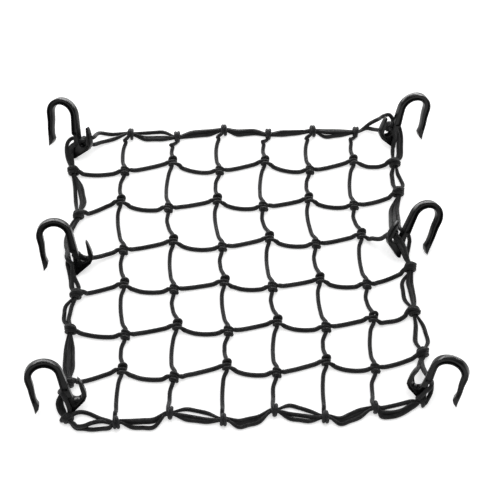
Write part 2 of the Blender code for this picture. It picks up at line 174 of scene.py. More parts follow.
# The foot below the eye: the degree round the eye, and the outline's point across from it
Foot = namedtuple("Foot", "turn point channel")
FOOT = (
    Foot(180, (0.0136, -0.0320), False), Foot(197, (0.0123, -0.0385), True),
    Foot(213, (0.0110, -0.0440), True), Foot(232, (0.0098, -0.0505), True),
    Foot(247, (0.0090, -0.0550), True), Foot(256, (0.0125, -0.0555), True),
    Foot(270, (0.0180, -0.0521), True), Foot(285, (0.0230, -0.0490), True),
    Foot(302, (0.0278, -0.0461), True), Foot(320, (0.0320, -0.0435), True),
    Foot(340, (0.0360, -0.0380), True), Foot(360, (0.0367, -0.0335), False),
)
SMALL_ARM = (
    Edge((0.0364, -0.0270), (0.0320, -0.0270), False),
    Edge((0.0357, -0.0220), (0.0326, -0.0200), False),
    Edge((0.0350, -0.0180), (0.0330, -0.0140), False),
)
# Where each hook stands. x, y: the ground under the middle of its big bend; side: 1 with its mouth
# to the left; roll, lean and yaw in degrees. A separate program fitted these numbers, which were then
# rounded and partly changed.
Hook = namedtuple("Hook", "x y side roll lean yaw")
HOOKS = {
    "back_left": Hook(-0.225, 0.192, 1, 18, 28, -28),
    "middle_left": Hook(-0.220, 0.010, 1, 10, 27, 2),
    "front_left": Hook(-0.217, -0.173, 1, 11, 27, 8),
    "back_right": Hook(0.208, 0.199, -1, 19, 17, 18),
    "middle_right": Hook(0.211, 0.038, -1, 36, 28, 22),
    "front_right": Hook(0.220, -0.169, -1, 8, 18, -20),
}
ROPE_FALL = 15.0                               # degrees that the borders' cords fall past a middle hook

# How each border's three cords spread between two knots, in millimetres off the straight line.
# near, far: three and seven tenths of the way, towards the right on the side borders and the back
# on the others; up: height off the ground
Bow = namedtuple("Bow", "near far up")
BOW_PARTS = (0.3, 0.5, 0.7)
MIDDLE_BOW = 0.53                              # how much of near plus far it stands off halfway
SIDE_BOWS = {                                  # by the row of the front one of two knots
    "left": {
        6: (Bow(-5.0, -4.4, 3.0), Bow(-0.6, -0.9, 5.2), Bow(3.8, 2.8, 3.0)),
        5: (Bow(-9.6, -10.5, 2.8), Bow(-4.0, -2.7, 5.5), Bow(-4.5, -3.5, 2.6)),
        2: (Bow(-1.7, -0.5, 2.6), Bow(5.4, 4.0, 4.5), Bow(8.6, 7.2, 2.8)),
    },
    "right": {
        6: (Bow(9.2, 7.6, 2.8), Bow(-4.5, -0.5, 2.6), Bow(-5.3, -0.9, 4.5)),
        5: (Bow(2.0, 0.3, 2.8), Bow(-9.1, -10.3, 2.8), Bow(-0.8, -3.9, 5.0)),
        2: (Bow(7.2, 2.8, 3.0), Bow(-4.0, -4.0, 2.6), Bow(-4.8, -4.8, 4.0)),
    },
}
CROSS_BOWS = {                                 # left to right
    "back": (
        (Bow(5.0, 8.4, 3.5), Bow(-1.8, 0.5, 2.8), Bow(-4.5, -2.5, 3.0)),
        (Bow(6.6, 4.6, 3.0), Bow(3.6, 1.8, 5.5), Bow(0.6, -1.2, 2.8)),
        (Bow(3.0, 6.3, 3.0), Bow(0.0, 4.0, 5.5), Bow(-3.0, 1.8, 3.0)),
        (Bow(4.8, 2.1, 3.0), Bow(2.4, 1.2, 5.5), Bow(0.0, 0.5, 3.0)),
        (Bow(3.3, 3.8, 3.0), Bow(-1.0, 0.0, 5.5), Bow(-6.0, -2.2, 2.8)),
    ),
    "front": (
        (Bow(-0.8, -3.4, 5.0), Bow(-7.5, -11.8, 2.8), Bow(-2.0, -4.5, 2.6)),
        (Bow(8.8, 6.8, 3.0), Bow(0.4, -1.0, 3.5), Bow(-3.5, -3.6, 3.0)),
        (Bow(-3.5, -2.5, 3.5), Bow(-10.6, -8.8, 3.0), Bow(-7.2, -6.0, 2.6)),
        (Bow(9.9, 6.0, 3.0), Bow(-0.5, -0.8, 3.5), Bow(-5.7, -6.0, 3.0)),
        (Bow(-3.9, 1.7, 3.5), Bow(-10.4, -6.5, 3.0), Bow(-6.8, -2.6, 2.6)),
    ),
}
# Each of the three cords' way past a hook, front to back, in millimetres from the middle of the
# hook's eye: right, back, up. A separate program worked out most of these points and the corner
# cords' below, which were then rounded and partly changed.
PAST_HOOK = {
    "front_left": (
        ((-18, -15, -18), (-21, -10, -16), (-22, -4, -12), (-18, 2, -6), (-13, 8, -5)),
        ((-15, -13, -18), (-18, -6, -15), (-18, 1, -9), (-14, 9, -7)),
        ((-9, -15, -16), (-9, -12, -9), (-12, -7, 0), (-15, -3, 5), (-19, 2, 1), (-15, 9, -3)),
    ),
    "middle_left": (
        ((-14, -33, -18), (-16, -22, -17), (-18, -13, -13), (-20, -5, -8), (-19, 1, -4), (-22, 14, -7),
         (-25, 31, -13), (-23, 47, -16), (-18, 61, -17)),
        ((-6, -32, -18), (-12, -19, -14), (-15, -8, -11), (-18, 0, -10), (-21, 12, -9), (-24, 22, -10),
         (-22, 40, -14), (-17, 55, -16)),
        ((-13, -33, -18), (-14, -22, -15), (-14, -13, -10), (-14, -9, -2), (-19, -5, 2), (-21, 5, -3),
         (-20, 19, -9), (-20, 35, -14), (-19, 51, -16)),
    ),
    "back_left": (
        ((-21, -13, -19), (-23, -5, -16), (-23, 1, -11), (-21, 6, -7), (-16, 10, -5), (-8, 10, -6)),
        ((-16, -13, -19), (-17, -5, -14), (-15, -1, -8), (-9, 1, -3), (-2, 4, -2)),
        ((-18, -13, -20), (-20, -5, -17), (-18, 0, -10), (-12, 1, -4), (-4, 4, -1)),
    ),
    "front_right": (
        ((3, -13, -15), (9, -10, -3), (14, -8, 3), (16, -2, 3), (14, 7, -2), (10, 19, -8), (9, 33, -14)),
        ((9, -17, -18), (13, -12, -16), (17, -4, -12), (17, 4, -7), (13, 14, -8), (10, 28, -13)),
        ((2, -6, -17), (-3, 3, -9), (-4, 9, -3), (2, 18, -5), (5, 25, -10), (8, 34, -13)),
    ),
    "middle_right": (
        ((16, -10, -27), (18, 0, -22), (19, 7, -16), (16, 13, -10), (8, 14, -4), (9, 43, -24), (9, 59, -27)),
        ((14, -11, -27), (8, -9, -10), (3, -6, -1), (-1, 1, 0), (-3, 12, -2), (0, 44, -24), (2, 60, -28)),
        ((16, -12, -25), (11, -7, -9), (7, -4, -1), (2, 2, 1), (2, 14, -2), (5, 52, -26)),
    ),
    "back_right": (
        ((17, -25, -21), (19, -9, -18), (19, 4, -12), (16, 13, -6), (10, 14, 0)),
        ((8, -17, -21), (9, -7, -18), (10, -4, -7), (8, -1, 0), (4, 4, 1)),
        ((14, -25, -20), (15, -10, -16), (15, 1, -10), (12, 10, -5), (7, 12, -1)),
    ),
}
# Where the borders are lashed together at a corner, from the middle of that corner hook's eye,
# and the side border's heading there in degrees: 0 to the right, 90 to the back
Corner = namedtuple("Corner", "offset heading")
CORNERS = {
    "front_left": Corner((-11, -21, -17), 135.0), "front_right": Corner((6, -12, -17), 45.0),
    "back_left": Corner((-1, 8, -8), 45.0), "back_right": Corner((3, 10, -3), 135.0),
}
# The ends of the back and front borders' cords, left to right, from the same point of each eye.
# The back border's third cord starts and ends in the knots next to the hooks
CORNER_CORDS = {
    "back_left": (((10, 6, 1), (16, 27, -16), (31, 28, -20)), ((8, 6, -12), (19, 14, -18), (35, 21, -20))),
    "back_right": (
        ((-18, 25, -15), (-8, 24, -5), (-4, 14, 13), (2, 15, 14), (7, 13, 8), (6, 6, 6), (3, 8, 0)),
        ((-23, 20, -19), (-14, 15, -15), (-6, 7, -5)),
    ),
    "front_left": (
        ((-5, -17, -16), (2, -13, -18), (11, -14, -19), (24, -20, -19), (35, -24, -18)),
        ((-6, -26, -19), (-1, -31, -20), (8, -32, -20), (16, -33, -20), (27, -32, -20), (36, -31, -19)),
        ((-4, -27, -17), (0, -31, -16), (8, -31, -15), (16, -27, -16), (27, -24, -18)),
    ),
    "front_right": (
        ((-39, -22, -18), (-30, -20, -19), (-18, -17, -19), (-5, -14, -18)),
        ((-39, -31, -20), (-29, -32, -20), (-18, -29, -20), (-6, -22, -19), (1, -17, -18)),
        ((-38, -27, -18), (-27, -27, -19), (-15, -24, -19), (-3, -17, -18)),
    ),
}
# The knots that end the cross cord at the middle hooks, from the middle of each eye
EYE_KNOTS = {"middle_left": (-10, 4, -4), "middle_right": (-1, 7, 0)}
# Sizes of the knots against their tables, and how uneven they are
MESH_KNOT_SIZE = 0.95
EYE_KNOT_SIZE = 0.78
SIDE_KNOT_SIZE = 1.10
DOWN_KNOT_SIZE = 1.22
MESH_KNOT_UNEVEN = 0.05
END_KNOT_UNEVEN = 0.04
AXIS_UNEVEN = 5.0                              # degrees

Ring = namedtuple("Ring", "centre radius")
shuffle = random.Random(7)                     # small unevenness of hand-tied knots, the same each run


# Where things are

def hook_turn(hook):
    turn = Matrix.Rotation(math.radians(hook.yaw), 4, "Z")
    turn = turn @ Matrix.Rotation(math.radians(-hook.lean), 4, "X")
    turn = turn @ Matrix.Rotation(math.radians(-hook.roll * hook.side), 4, "Y")
    return turn @ Matrix.Rotation(math.radians(90.0), 4, "X")


def hook_outline_points():
    points = [edge.outer for edge in ARM + SHANK + SMALL_ARM] + [foot.point for foot in FOOT]
    return points + [edge.inner for edge in ARM]


def hook_matrix(hook):
    """Place of a hook, its foot's tip just under the ground, where it is cut flat."""
    turn = hook_turn(hook)
    lowest = min(
        (turn @ Vector((across * hook.side, up, face * HOOK_THICKNESS / 2))).z
        for across, up in hook_outline_points() for face in (-1, 1)
    )
    ground_point = Vector((hook.x, hook.y, -lowest - FOOT_SINK)) + TO_ORIGIN
    return Matrix.Translation(ground_point) @ turn


def eye_centre(hook):
    return hook_matrix(hook) @ Vector((EYE_CENTRE.x * hook.side, EYE_CENTRE.y, 0.0))


def rope_direction(hook):
    """Way from front to back past the hook's eye."""
    turn = Matrix.Rotation(math.radians(hook.yaw), 4, "Z")
    turn = turn @ Matrix.Rotation(math.radians(-ROPE_FALL), 4, "X")
    return (turn @ BACK).normalized()


def from_eye(place, offset):
    """Point at an offset in millimetres from the middle of a hook's eye."""
    return eye_centre(HOOKS[place]) + Vector(offset) * MM


def eye_place(column):
    return "middle_left" if column == 0 else "middle_right"


def is_back_knot(row, column):
    return (row + column) % 2 == 1


def knot(row, column):
    """Centre of the knot at a row and a column."""
    line = ROWS[row]
    if column in (0, LAST_COLUMN):
        if row == HOOK_ROW:
            return from_eye(eye_place(column), EYE_KNOTS[eye_place(column)])
        x, y = line.left if column == 0 else line.right
        return Vector((x, y, BORDER_AXIS)) + TO_ORIGIN
    zigzag = line.zigzag if is_back_knot(row, column) else -line.zigzag
    y = line.y + line.rise * (column - LAST_COLUMN / 2) + zigzag
    if row == 0:
        y += BACK_BORDER_LOOSE.get(column, 0.0)
    height = BORDER_AXIS if row in (0, LAST_ROW) else KNOT_AXIS
    return Vector((COLUMN_X[column] + line.shift, y, height)) + TO_ORIGIN


def cross_direction(degrees):
    angle = math.radians(degrees)
    return Vector((math.cos(angle), math.sin(angle), 0.0))


def down_direction(degrees):
    angle = math.radians(degrees)
    return Vector((-math.sin(angle), -math.cos(angle), 0.0))


def cross_slopes(row, column):
    if column == 0:
        return Slopes(CROSS_LEFT_END[row], 0.0)
    if column == LAST_COLUMN:
        return Slopes(0.0, CROSS_RIGHT_END[row])
    return CROSS_BACK_KNOT if is_back_knot(row, column) else CROSS_FRONT_KNOT


def down_slopes(row, column):
    if row == 0:
        return Slopes(DOWN_BACK_END, 0.0)
    if row == LAST_ROW:
        return Slopes(0.0, DOWN_FRONT_END)
    return DOWN_BACK_KNOT if is_back_knot(row, column) else DOWN_FRONT_KNOT


# Cord routes

def between(start, end, leave, reach, part):
    """Point on the smooth span between two knots, at a part of its way, dipping to the ground."""
    length = (end - start).length
    square, cube = part * part, part ** 3
    point = start * (2 * cube - 3 * square + 1) + end * (3 * square - 2 * cube)
    point += leave * length * (cube - 2 * square + part)
    point += reach * length * (cube - square)
    point.z = start.z + (end.z - start.z) * part - CORD_DIP * 4 * part * (1 - part)
    return point


def span(start, end, leave, reach, radius):
    clear = KNOT_REACH / (end - start).length
    parts = [part for part in SPAN_PARTS if clear < part < 1.0 - clear]
    return [Ring(between(start, end, leave, reach, part), radius) for part in parts]


def wound(wraps, centre, axis, inward, radius, free_radius, scale=1.0):
    """Rings of a cord wound round an axis. inward is the level direction of a turn of 0 degrees."""
    axis = axis.normalized()
    right = (inward - axis * inward.dot(axis)).normalized()
    up = (UP - axis * UP.dot(axis) - right * UP.dot(right)).normalized()
    turns = [wrap.turn for wrap in wraps]
    steps = max(2, round(abs(turns[-1] - turns[0]) / WRAP_STEP))
    stations = np.linspace(0, len(wraps) - 1, steps * 2 + 1)
    rows = smooth_rows(np.array(wraps, dtype=float), stations)
    rings = []
    for turn, along, out in rows:
        angle = math.radians(turn)
        side = right * math.cos(angle) + up * math.sin(angle)
        place = centre + (side * out + axis * along) * MM * scale
        loose = min(1.0, max(0.0, (out - FREE_OF_KNOT) / SWELLING))
        rings.append(Ring(place, radius + (free_radius - radius) * loose))
    return rings


def smooth_rows(rows, stations):
    """The table's rows read at fractional positions, on a smooth curve through them."""
    before = np.vstack([rows[0] * 2 - rows[1], rows[:-1]])
    after = np.vstack([rows[1:], rows[-1] * 2 - rows[-2]])
    slopes = (after - before) / 2
    found = []
    for station in stations:
        index = min(int(station), len(rows) - 2)
        part = station - index
        square, cube = part * part, part ** 3
        found.append(
            rows[index] * (2 * cube - 3 * square + 1) + rows[index + 1] * (3 * square - 2 * cube)
            + slopes[index] * (cube - 2 * square + part) + slopes[index + 1] * (cube - square))
    return found


def smooth_route(route, spacing=RING_SPACING):
    """Evenly spaced rings on the smooth curve through a route's rings."""
    points = np.array([[*ring.centre, ring.radius] for ring in route])
    gaps = np.sqrt(np.linalg.norm(np.diff(points[:, :3], axis=0), axis=1))[:, None]
    slopes = np.diff(points, axis=0) / gaps
    tangents = np.vstack([
        slopes[:1],
        (slopes[:-1] * gaps[1:] + slopes[1:] * gaps[:-1]) / (gaps[:-1] + gaps[1:]),
        slopes[-1:],
    ])
    fine = []
    for index in range(len(points) - 1):
        part = np.linspace(0.0, 1.0, CURVE_STEPS, endpoint=False)[:, None]
        square, cube = part * part, part ** 3
        fine.append(
            points[index] * (2 * cube - 3 * square + 1) + points[index + 1] * (3 * square - 2 * cube)
            + tangents[index] * gaps[index] * (cube - 2 * square + part)
            + tangents[index + 1] * gaps[index] * (cube - square))
    fine = np.vstack([*fine, points[-1:]])
    along = np.concatenate([[0.0], np.cumsum(np.linalg.norm(np.diff(fine[:, :3], axis=0), axis=1))])
    even = np.linspace(0.0, along[-1], max(4, round(along[-1] / spacing)))
    columns = [np.interp(even, along, fine[:, index]) for index in range(4)]
    columns[2] = np.maximum(columns[2], columns[3])    # nothing lies below the ground
    return [Ring(Vector(row[:3]), row[3]) for row in np.array(columns).T]


def cord_mesh(route):
    """A cord as a closed tube with rounded ends. Its UV map holds turns round it and metres along."""
    rings = smooth_route(route)
    curve = bpy.data.curves.new("cord", "CURVE")
    curve.dimensions = "3D"
    curve.bevel_depth = 1.0
    curve.bevel_resolution = (CORD_SIDES - 4) // 2
    curve.use_fill_caps = True
    spline = curve.splines.new("POLY")
    spline.points.add(len(rings) - 1)
    last = len(rings) - 1
    for index, (point, ring) in enumerate(zip(spline.points, rings)):
        point.co = (*ring.centre, 1.0)
        to_end = min(index, last - index) * RING_SPACING / END_ROUNDING
        point.radius = ring.radius * math.sqrt(1 - END_NARROWING * (1 - min(1.0, to_end)) ** 2)
    holder = bpy.data.objects.new("cord", curve)
    bpy.context.scene.collection.objects.link(holder)
    graph = bpy.context.evaluated_depsgraph_get()
    mesh = bpy.data.meshes.new_from_object(holder.evaluated_get(graph))
    bpy.data.objects.remove(holder)
    bpy.data.curves.remove(curve)
    length = sum((b.centre - a.centre).length for a, b in zip(rings, rings[1:]))
    for corner in mesh.uv_layers[0].data:
        corner.uv = (corner.uv[0], corner.uv[1] * length)
    return mesh


def cords_piece(name, routes, material, node):
    """One object of several cords, in place of the solid that it stands for."""
    joined = bmesh.new()
    for route in routes:
        mesh = cord_mesh(route)
        joined.from_mesh(mesh)
        bpy.data.meshes.remove(mesh)
    bmesh.ops.remove_doubles(joined, verts=joined.verts, dist=0.00001)
    bmesh.ops.recalc_face_normals(joined, faces=joined.faces)
    return finished_piece(name, joined, material, node)


def finished_piece(name, solid, material, node, sharp=55.0):
    mesh = bpy.data.meshes.new(name)
    solid.to_mesh(mesh)
    solid.free()
    mesh.shade_smooth()
    mesh.set_sharp_from_angle(angle=math.radians(sharp))
    mesh.materials.clear()
    mesh.materials.append(material)
    piece = bpy.data.objects.new(name, mesh)
    bpy.context.scene.collection.objects.link(piece)
    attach(piece, "root")
    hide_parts(node)
    return piece


def uneven(amount):
    return shuffle.uniform(-amount, amount)


def knot_axis(row, column):
    slopes = down_slopes(row, column)
    return -down_direction((slopes.leave + slopes.reach) / 2 + uneven(AXIS_UNEVEN))


def mesh_knot(row, column):
    """Rings of a cross cord tied round a down cord."""
    wraps = BACK_KNOT_WRAPS if is_back_knot(row, column) else FRONT_KNOT_WRAPS
    return wound(
        wraps, knot(row, column), knot_axis(row, column), RIGHT,
        CROSS_IN_KNOT, CROSS_CORD, MESH_KNOT_SIZE + uneven(MESH_KNOT_UNEVEN))


def border_axis(row, column):
    """Way along the border at a knot, towards the back on the sides and the right on the others."""
    if column in (0, LAST_COLUMN):
        if row == HOOK_ROW:
            return rope_direction(HOOKS[eye_place(column)])
        behind, before = (row if near in (0, HOOK_ROW, LAST_ROW) else near for near in (row - 1, row + 1))
        step = knot(behind, column) - knot(before, column)
    else:
        step = knot(row, min(column + 1, LAST_COLUMN - 1)) - knot(row, max(column - 1, 1))
    step.z = 0.0
    return step.normalized()


def end_knot(row, column, inward, radius, free_radius):
    """Rings of the knot that ends a cord on a border, from its tail to the cord."""
    axis = border_axis(row, column)
    lean = inward.dot(axis) / math.sqrt(1.0 - inward.dot(axis) ** 2)
    over = is_back_knot(row, column)
    if row in (0, LAST_ROW, HOOK_ROW):
        wraps = OVER_KNOT_WRAPS if over else UNDER_KNOT_WRAPS
        size = EYE_KNOT_SIZE if row == HOOK_ROW else DOWN_KNOT_SIZE
    else:
        wraps = [wrap if over else wrap._replace(along=-wrap.along) for wrap in SIDE_KNOT_WRAPS]
        size = SIDE_KNOT_SIZE
    last = wraps[-1]
    wraps = [*wraps[:-1], last._replace(along=last.along + lean * last.out * END_LEAN)]
    size += uneven(END_KNOT_UNEVEN)
    return wound(wraps, knot(row, column), axis, inward, radius, free_radius, size)


def cross_cord_route(row):
    leave = cross_direction(cross_slopes(row, 0).leave)
    route = end_knot(row, 0, leave, CROSS_IN_KNOT, CROSS_CORD)
    for column in range(LAST_COLUMN):
        leave = cross_direction(cross_slopes(row, column).leave)
        reach = cross_direction(cross_slopes(row, column + 1).reach)
        route += span(knot(row, column), knot(row, column + 1), leave, reach, CROSS_CORD)
        if column + 1 < LAST_COLUMN:
            route += mesh_knot(row, column + 1)
    inward = -cross_direction(cross_slopes(row, LAST_COLUMN).reach)
    return route + end_knot(row, LAST_COLUMN, inward, CROSS_IN_KNOT, CROSS_CORD)[::-1]


def down_cord_route(column):
    inward = down_direction(down_slopes(0, column).leave)
    route = end_knot(0, column, inward, DOWN_IN_END, DOWN_CORD)
    for row in range(LAST_ROW):
        leave = down_direction(down_slopes(row, column).leave)
        reach = down_direction(down_slopes(row + 1, column).reach)
        route += span(knot(row, column), knot(row + 1, column), leave, reach, DOWN_CORD)
        if row + 1 < LAST_ROW:
            centre, axis = knot(row + 1, column), knot_axis(row + 1, column)
            for along in HELD_ALONG:
                radius = DOWN_IN_KNOT if abs(along) < HELD_TIGHT else DOWN_CORD * DOWN_BY_KNOT
                route.append(Ring(centre + axis * along * MM, radius))
    inward = -down_direction(down_slopes(LAST_ROW, column).reach)
    return route + end_knot(LAST_ROW, column, inward, DOWN_IN_END, DOWN_CORD)[::-1]


# Borders

STRANDS = 3
HOLD = 0.0035                                  # half of the length that a knot holds straight
HOLD_SPREAD = 0.00165                          # from the middle of a knot to each of its three cords
LASHING_STEPS = 10                             # quarter turns of a corner's lashing
LASHING_PITCH = 0.55                           # millimetres along for each of them


def gripped(centre, along, strand, first=0.0):
    """Rings of one of the three cords where a knot grips them. first: where cord 0 is round it."""
    side = UP.cross(along).normalized()
    up = along.cross(side).normalized()
    angle = math.radians(first + 360.0 / STRANDS * strand)
    offset = (side * math.cos(angle) + up * math.sin(angle)) * HOLD_SPREAD
    return [Ring(centre + offset + along * HOLD * step, BORDER_IN_KNOT) for step in (-1, 0, 1)]


def corner_heading(place, cross):
    """Way that a side border, or a cross one, runs through its lashing at a corner."""
    heading = CORNERS[place].heading
    angle = math.radians(heading - 180.0 if cross and heading > 90.0 else heading)
    return RIGHT * math.cos(angle) + BACK * math.sin(angle)


def at_corner(place, strand, cross):
    along = corner_heading(place, cross)
    return gripped(from_eye(place, CORNERS[place].offset), along, strand)


def past(place, offsets):
    return [Ring(from_eye(place, offset), BORDER_BY_HOOK) for offset in offsets]


def bowed(start, end, bow, across):
    """Rings of one of the three cords lying free between two knots."""
    rings = []
    for part, aside in zip(BOW_PARTS, (bow.near, (bow.near + bow.far) * MIDDLE_BOW, bow.far)):
        place = start.lerp(end, part) + across * aside * MM
        place.z = bow.up * MM
        rings.append(Ring(place, BORDER_CORD))
    return rings


def side_border_route(side, strand):
    """One of a side border's cords, front corner to back corner."""
    column, first = (0, 0.0) if side == "left" else (LAST_COLUMN, 180.0)
    route = at_corner(f"front_{side}", strand, False)
    route += past(f"front_{side}", PAST_HOOK[f"front_{side}"][strand])
    for row in (6, 5, 4, 2, 1):
        route += gripped(knot(row, column), border_axis(row, column), strand, first)
        if row in SIDE_BOWS[side]:
            bow = SIDE_BOWS[side][row][strand]
            route += bowed(knot(row, column), knot(row - 1, column), bow, RIGHT)
        if row == HOOK_ROW + 1:
            route += past(f"middle_{side}", PAST_HOOK[f"middle_{side}"][strand])
    route += past(f"back_{side}", PAST_HOOK[f"back_{side}"][strand])
    return route + at_corner(f"back_{side}", strand, False)


def cross_border_route(side, strand):
    """One of the back or front border's cords, left to right."""
    row = 0 if side == "back" else LAST_ROW
    left, right = f"{side}_left", f"{side}_right"
    reaches_corners = strand < len(CORNER_CORDS[left])
    route = []
    if reaches_corners:
        route += at_corner(left, strand, True) + past(left, CORNER_CORDS[left][strand])
    for column in range(1, LAST_COLUMN):
        route += gripped(knot(row, column), border_axis(row, column), strand)
        if column + 1 < LAST_COLUMN:
            bow = CROSS_BOWS[side][column - 1][strand]
            route += bowed(knot(row, column), knot(row, column + 1), bow, BACK)
    if reaches_corners:
        route += past(right, CORNER_CORDS[right][strand]) + at_corner(right, strand, True)
    return route


def corner_lashing(place):
    """A cord wound round the cords where two borders meet."""
    wraps = [Wrap(-40, -3.6, 6.5)]
    wraps += [Wrap(60 + 90 * step, -2.6 + step * LASHING_PITCH, 4.4) for step in range(LASHING_STEPS)]
    wraps += [Wrap(1010, 3.4, 6.2)]
    along = corner_heading(place, True)
    side = along.cross(UP).normalized()
    return wound(wraps, from_eye(place, CORNERS[place].offset), along, side, CROSS_IN_KNOT, CROSS_CORD)


# Hooks

def arc_point(centre, radius, degrees):
    angle = math.radians(degrees)
    return (centre.x + radius * math.cos(angle), centre.y + radius * math.sin(angle))


def lane_points(outer, inner, side):
    """A band's four points from its outer to its inner edge, with a rim at each."""
    outer, inner = Vector((*outer, 0.0)), Vector((*inner, 0.0))
    rim = min(FLANGE, RIM_SHARE * (inner - outer).length)
    across = (inner - outer).normalized() * rim
    points = [outer, outer + across, inner - across, inner]
    return [Vector((point.x * side, point.y, -HOOK_THICKNESS / 2)) for point in points]


def extend_band(band, verts, outline, side):
    """Draws the band's last edge out through the outline's edges. Material 1 marks the channel."""
    for edge in outline:
        lanes = [band.edges.get((a, b)) for a, b in zip(verts, verts[1:])]
        drawn = bmesh.ops.extrude_edge_only(band, edges=lanes)["geom"]
        fresh = [item for item in drawn if isinstance(item, bmesh.types.BMVert)]
        faces = [item for item in drawn if isinstance(item, bmesh.types.BMFace)]
        following = [min(fresh, key=lambda new: (new.co - old.co).length) for old in verts]
        for face in faces:
            in_middle = verts[1] in face.verts and verts[2] in face.verts
            face.material_index = 1 if edge.channel and in_middle else 0
        for vert, place in zip(following, lane_points(edge.outer, edge.inner, side)):
            vert.co = place
        verts = following
    return verts


def hook_piece(place, hook, material):
    """A hook: a flat band spun round its bend and drawn out, then raised, recessed and rounded."""
    band = bmesh.new()
    first = lane_points((-BEND_OUTER, 0.0), (-BEND_INNER, 0.0), hook.side)
    start = [band.verts.new(point) for point in first]
    lanes = [band.edges.new(pair) for pair in zip(start, start[1:])]
    bend = bmesh.ops.spin(
        band, geom=start + lanes, cent=(0.0, 0.0, 0.0), axis=(0.0, 0.0, 1.0),
        angle=math.radians(-180.0 * hook.side), steps=BEND_STEPS)
    middle = (BEND_OUTER + BEND_INNER) / 2
    for face in band.faces:
        if abs(face.calc_center_median().xy.length - middle) < BEND_TOLERANCE:
            face.material_index = 1
    end = [item for item in bend["geom_last"] if isinstance(item, bmesh.types.BMVert)]
    end.sort(key=lambda vert: -vert.co.xy.length)
    extend_band(band, start, ARM, hook.side)
    foot = [Edge(step.point, arc_point(EYE_CENTRE, EYE_RADIUS, step.turn), step.channel) for step in FOOT]
    shank = [Edge(edge.inner, edge.outer, edge.channel) for edge in SHANK]
    end.reverse()
    extend_band(band, end, shank + foot + list(SMALL_ARM), hook.side)
    raised = bmesh.ops.extrude_face_region(band, geom=band.faces[:])["geom"]
    moved = [item for item in raised if isinstance(item, bmesh.types.BMVert)]
    bmesh.ops.translate(band, verts=moved, vec=(0.0, 0.0, HOOK_THICKNESS))
    bmesh.ops.recalc_face_normals(band, faces=band.faces)
    for face_way in (-1, 1):
        channel = [
            face for face in band.faces
            if face.material_index == 1 and face.normal.z * face_way > 0.9
        ]
        bmesh.ops.inset_region(
            band, faces=channel, thickness=CHANNEL_DRAFT, depth=-CHANNEL_DEPTH,
            use_even_offset=True, use_boundary=True)
    for face in band.faces:
        face.material_index = 0
    corners = [
        edge for edge in band.edges
        if len(edge.link_faces) == 2 and edge.calc_face_angle() > math.radians(SHARP_EDGE)
    ]
    bmesh.ops.bevel(
        band, geom=corners, offset=EDGE_ROUNDING, offset_type="OFFSET", segments=2, profile=0.5,
        affect="EDGES", clamp_overlap=True, material=-1)
    bmesh.ops.transform(band, matrix=hook_matrix(hook), verts=band.verts)
    bmesh.ops.bisect_plane(
        band, geom=band.verts[:] + band.edges[:] + band.faces[:], dist=0.00001,
        plane_co=(0.0, 0.0, 0.0), plane_no=(0.0, 0.0, 1.0), clear_inner=True)
    bmesh.ops.holes_fill(band, edges=band.edges, sides=0)
    bmesh.ops.recalc_face_normals(band, faces=band.faces)
    return finished_piece(
        f"clip_hook_{place}", band, material, f"hook_{place}", sharp=38.0)


# Materials

def colour(code):
    """Linear RGBA of an sRGB hex value."""
    channels = [int(code[index:index + 2], 16) / 255 for index in (1, 3, 5)]
    linear = [c / 12.92 if c <= 0.04045 else ((c + 0.055) / 1.055) ** 2.4 for c in channels]
    return (*linear, 1.0)


def node(tree, kind, inputs=None, **settings):
    """Adds a node: its settings, then each input's value or the socket linked to it."""
    new = tree.nodes.new(kind)
    for name, value in settings.items():
        setattr(new, name, value)
    for socket, value in (inputs or {}).items():
        if isinstance(value, bpy.types.NodeSocket):
            tree.links.new(value, new.inputs[socket])
        else:
            new.inputs[socket].default_value = value
    return new


def new_material(name):
    material = bpy.data.materials.new(name)
    material.use_nodes = True
    tree = material.node_tree
    return material, tree, tree.nodes["Principled BSDF"]


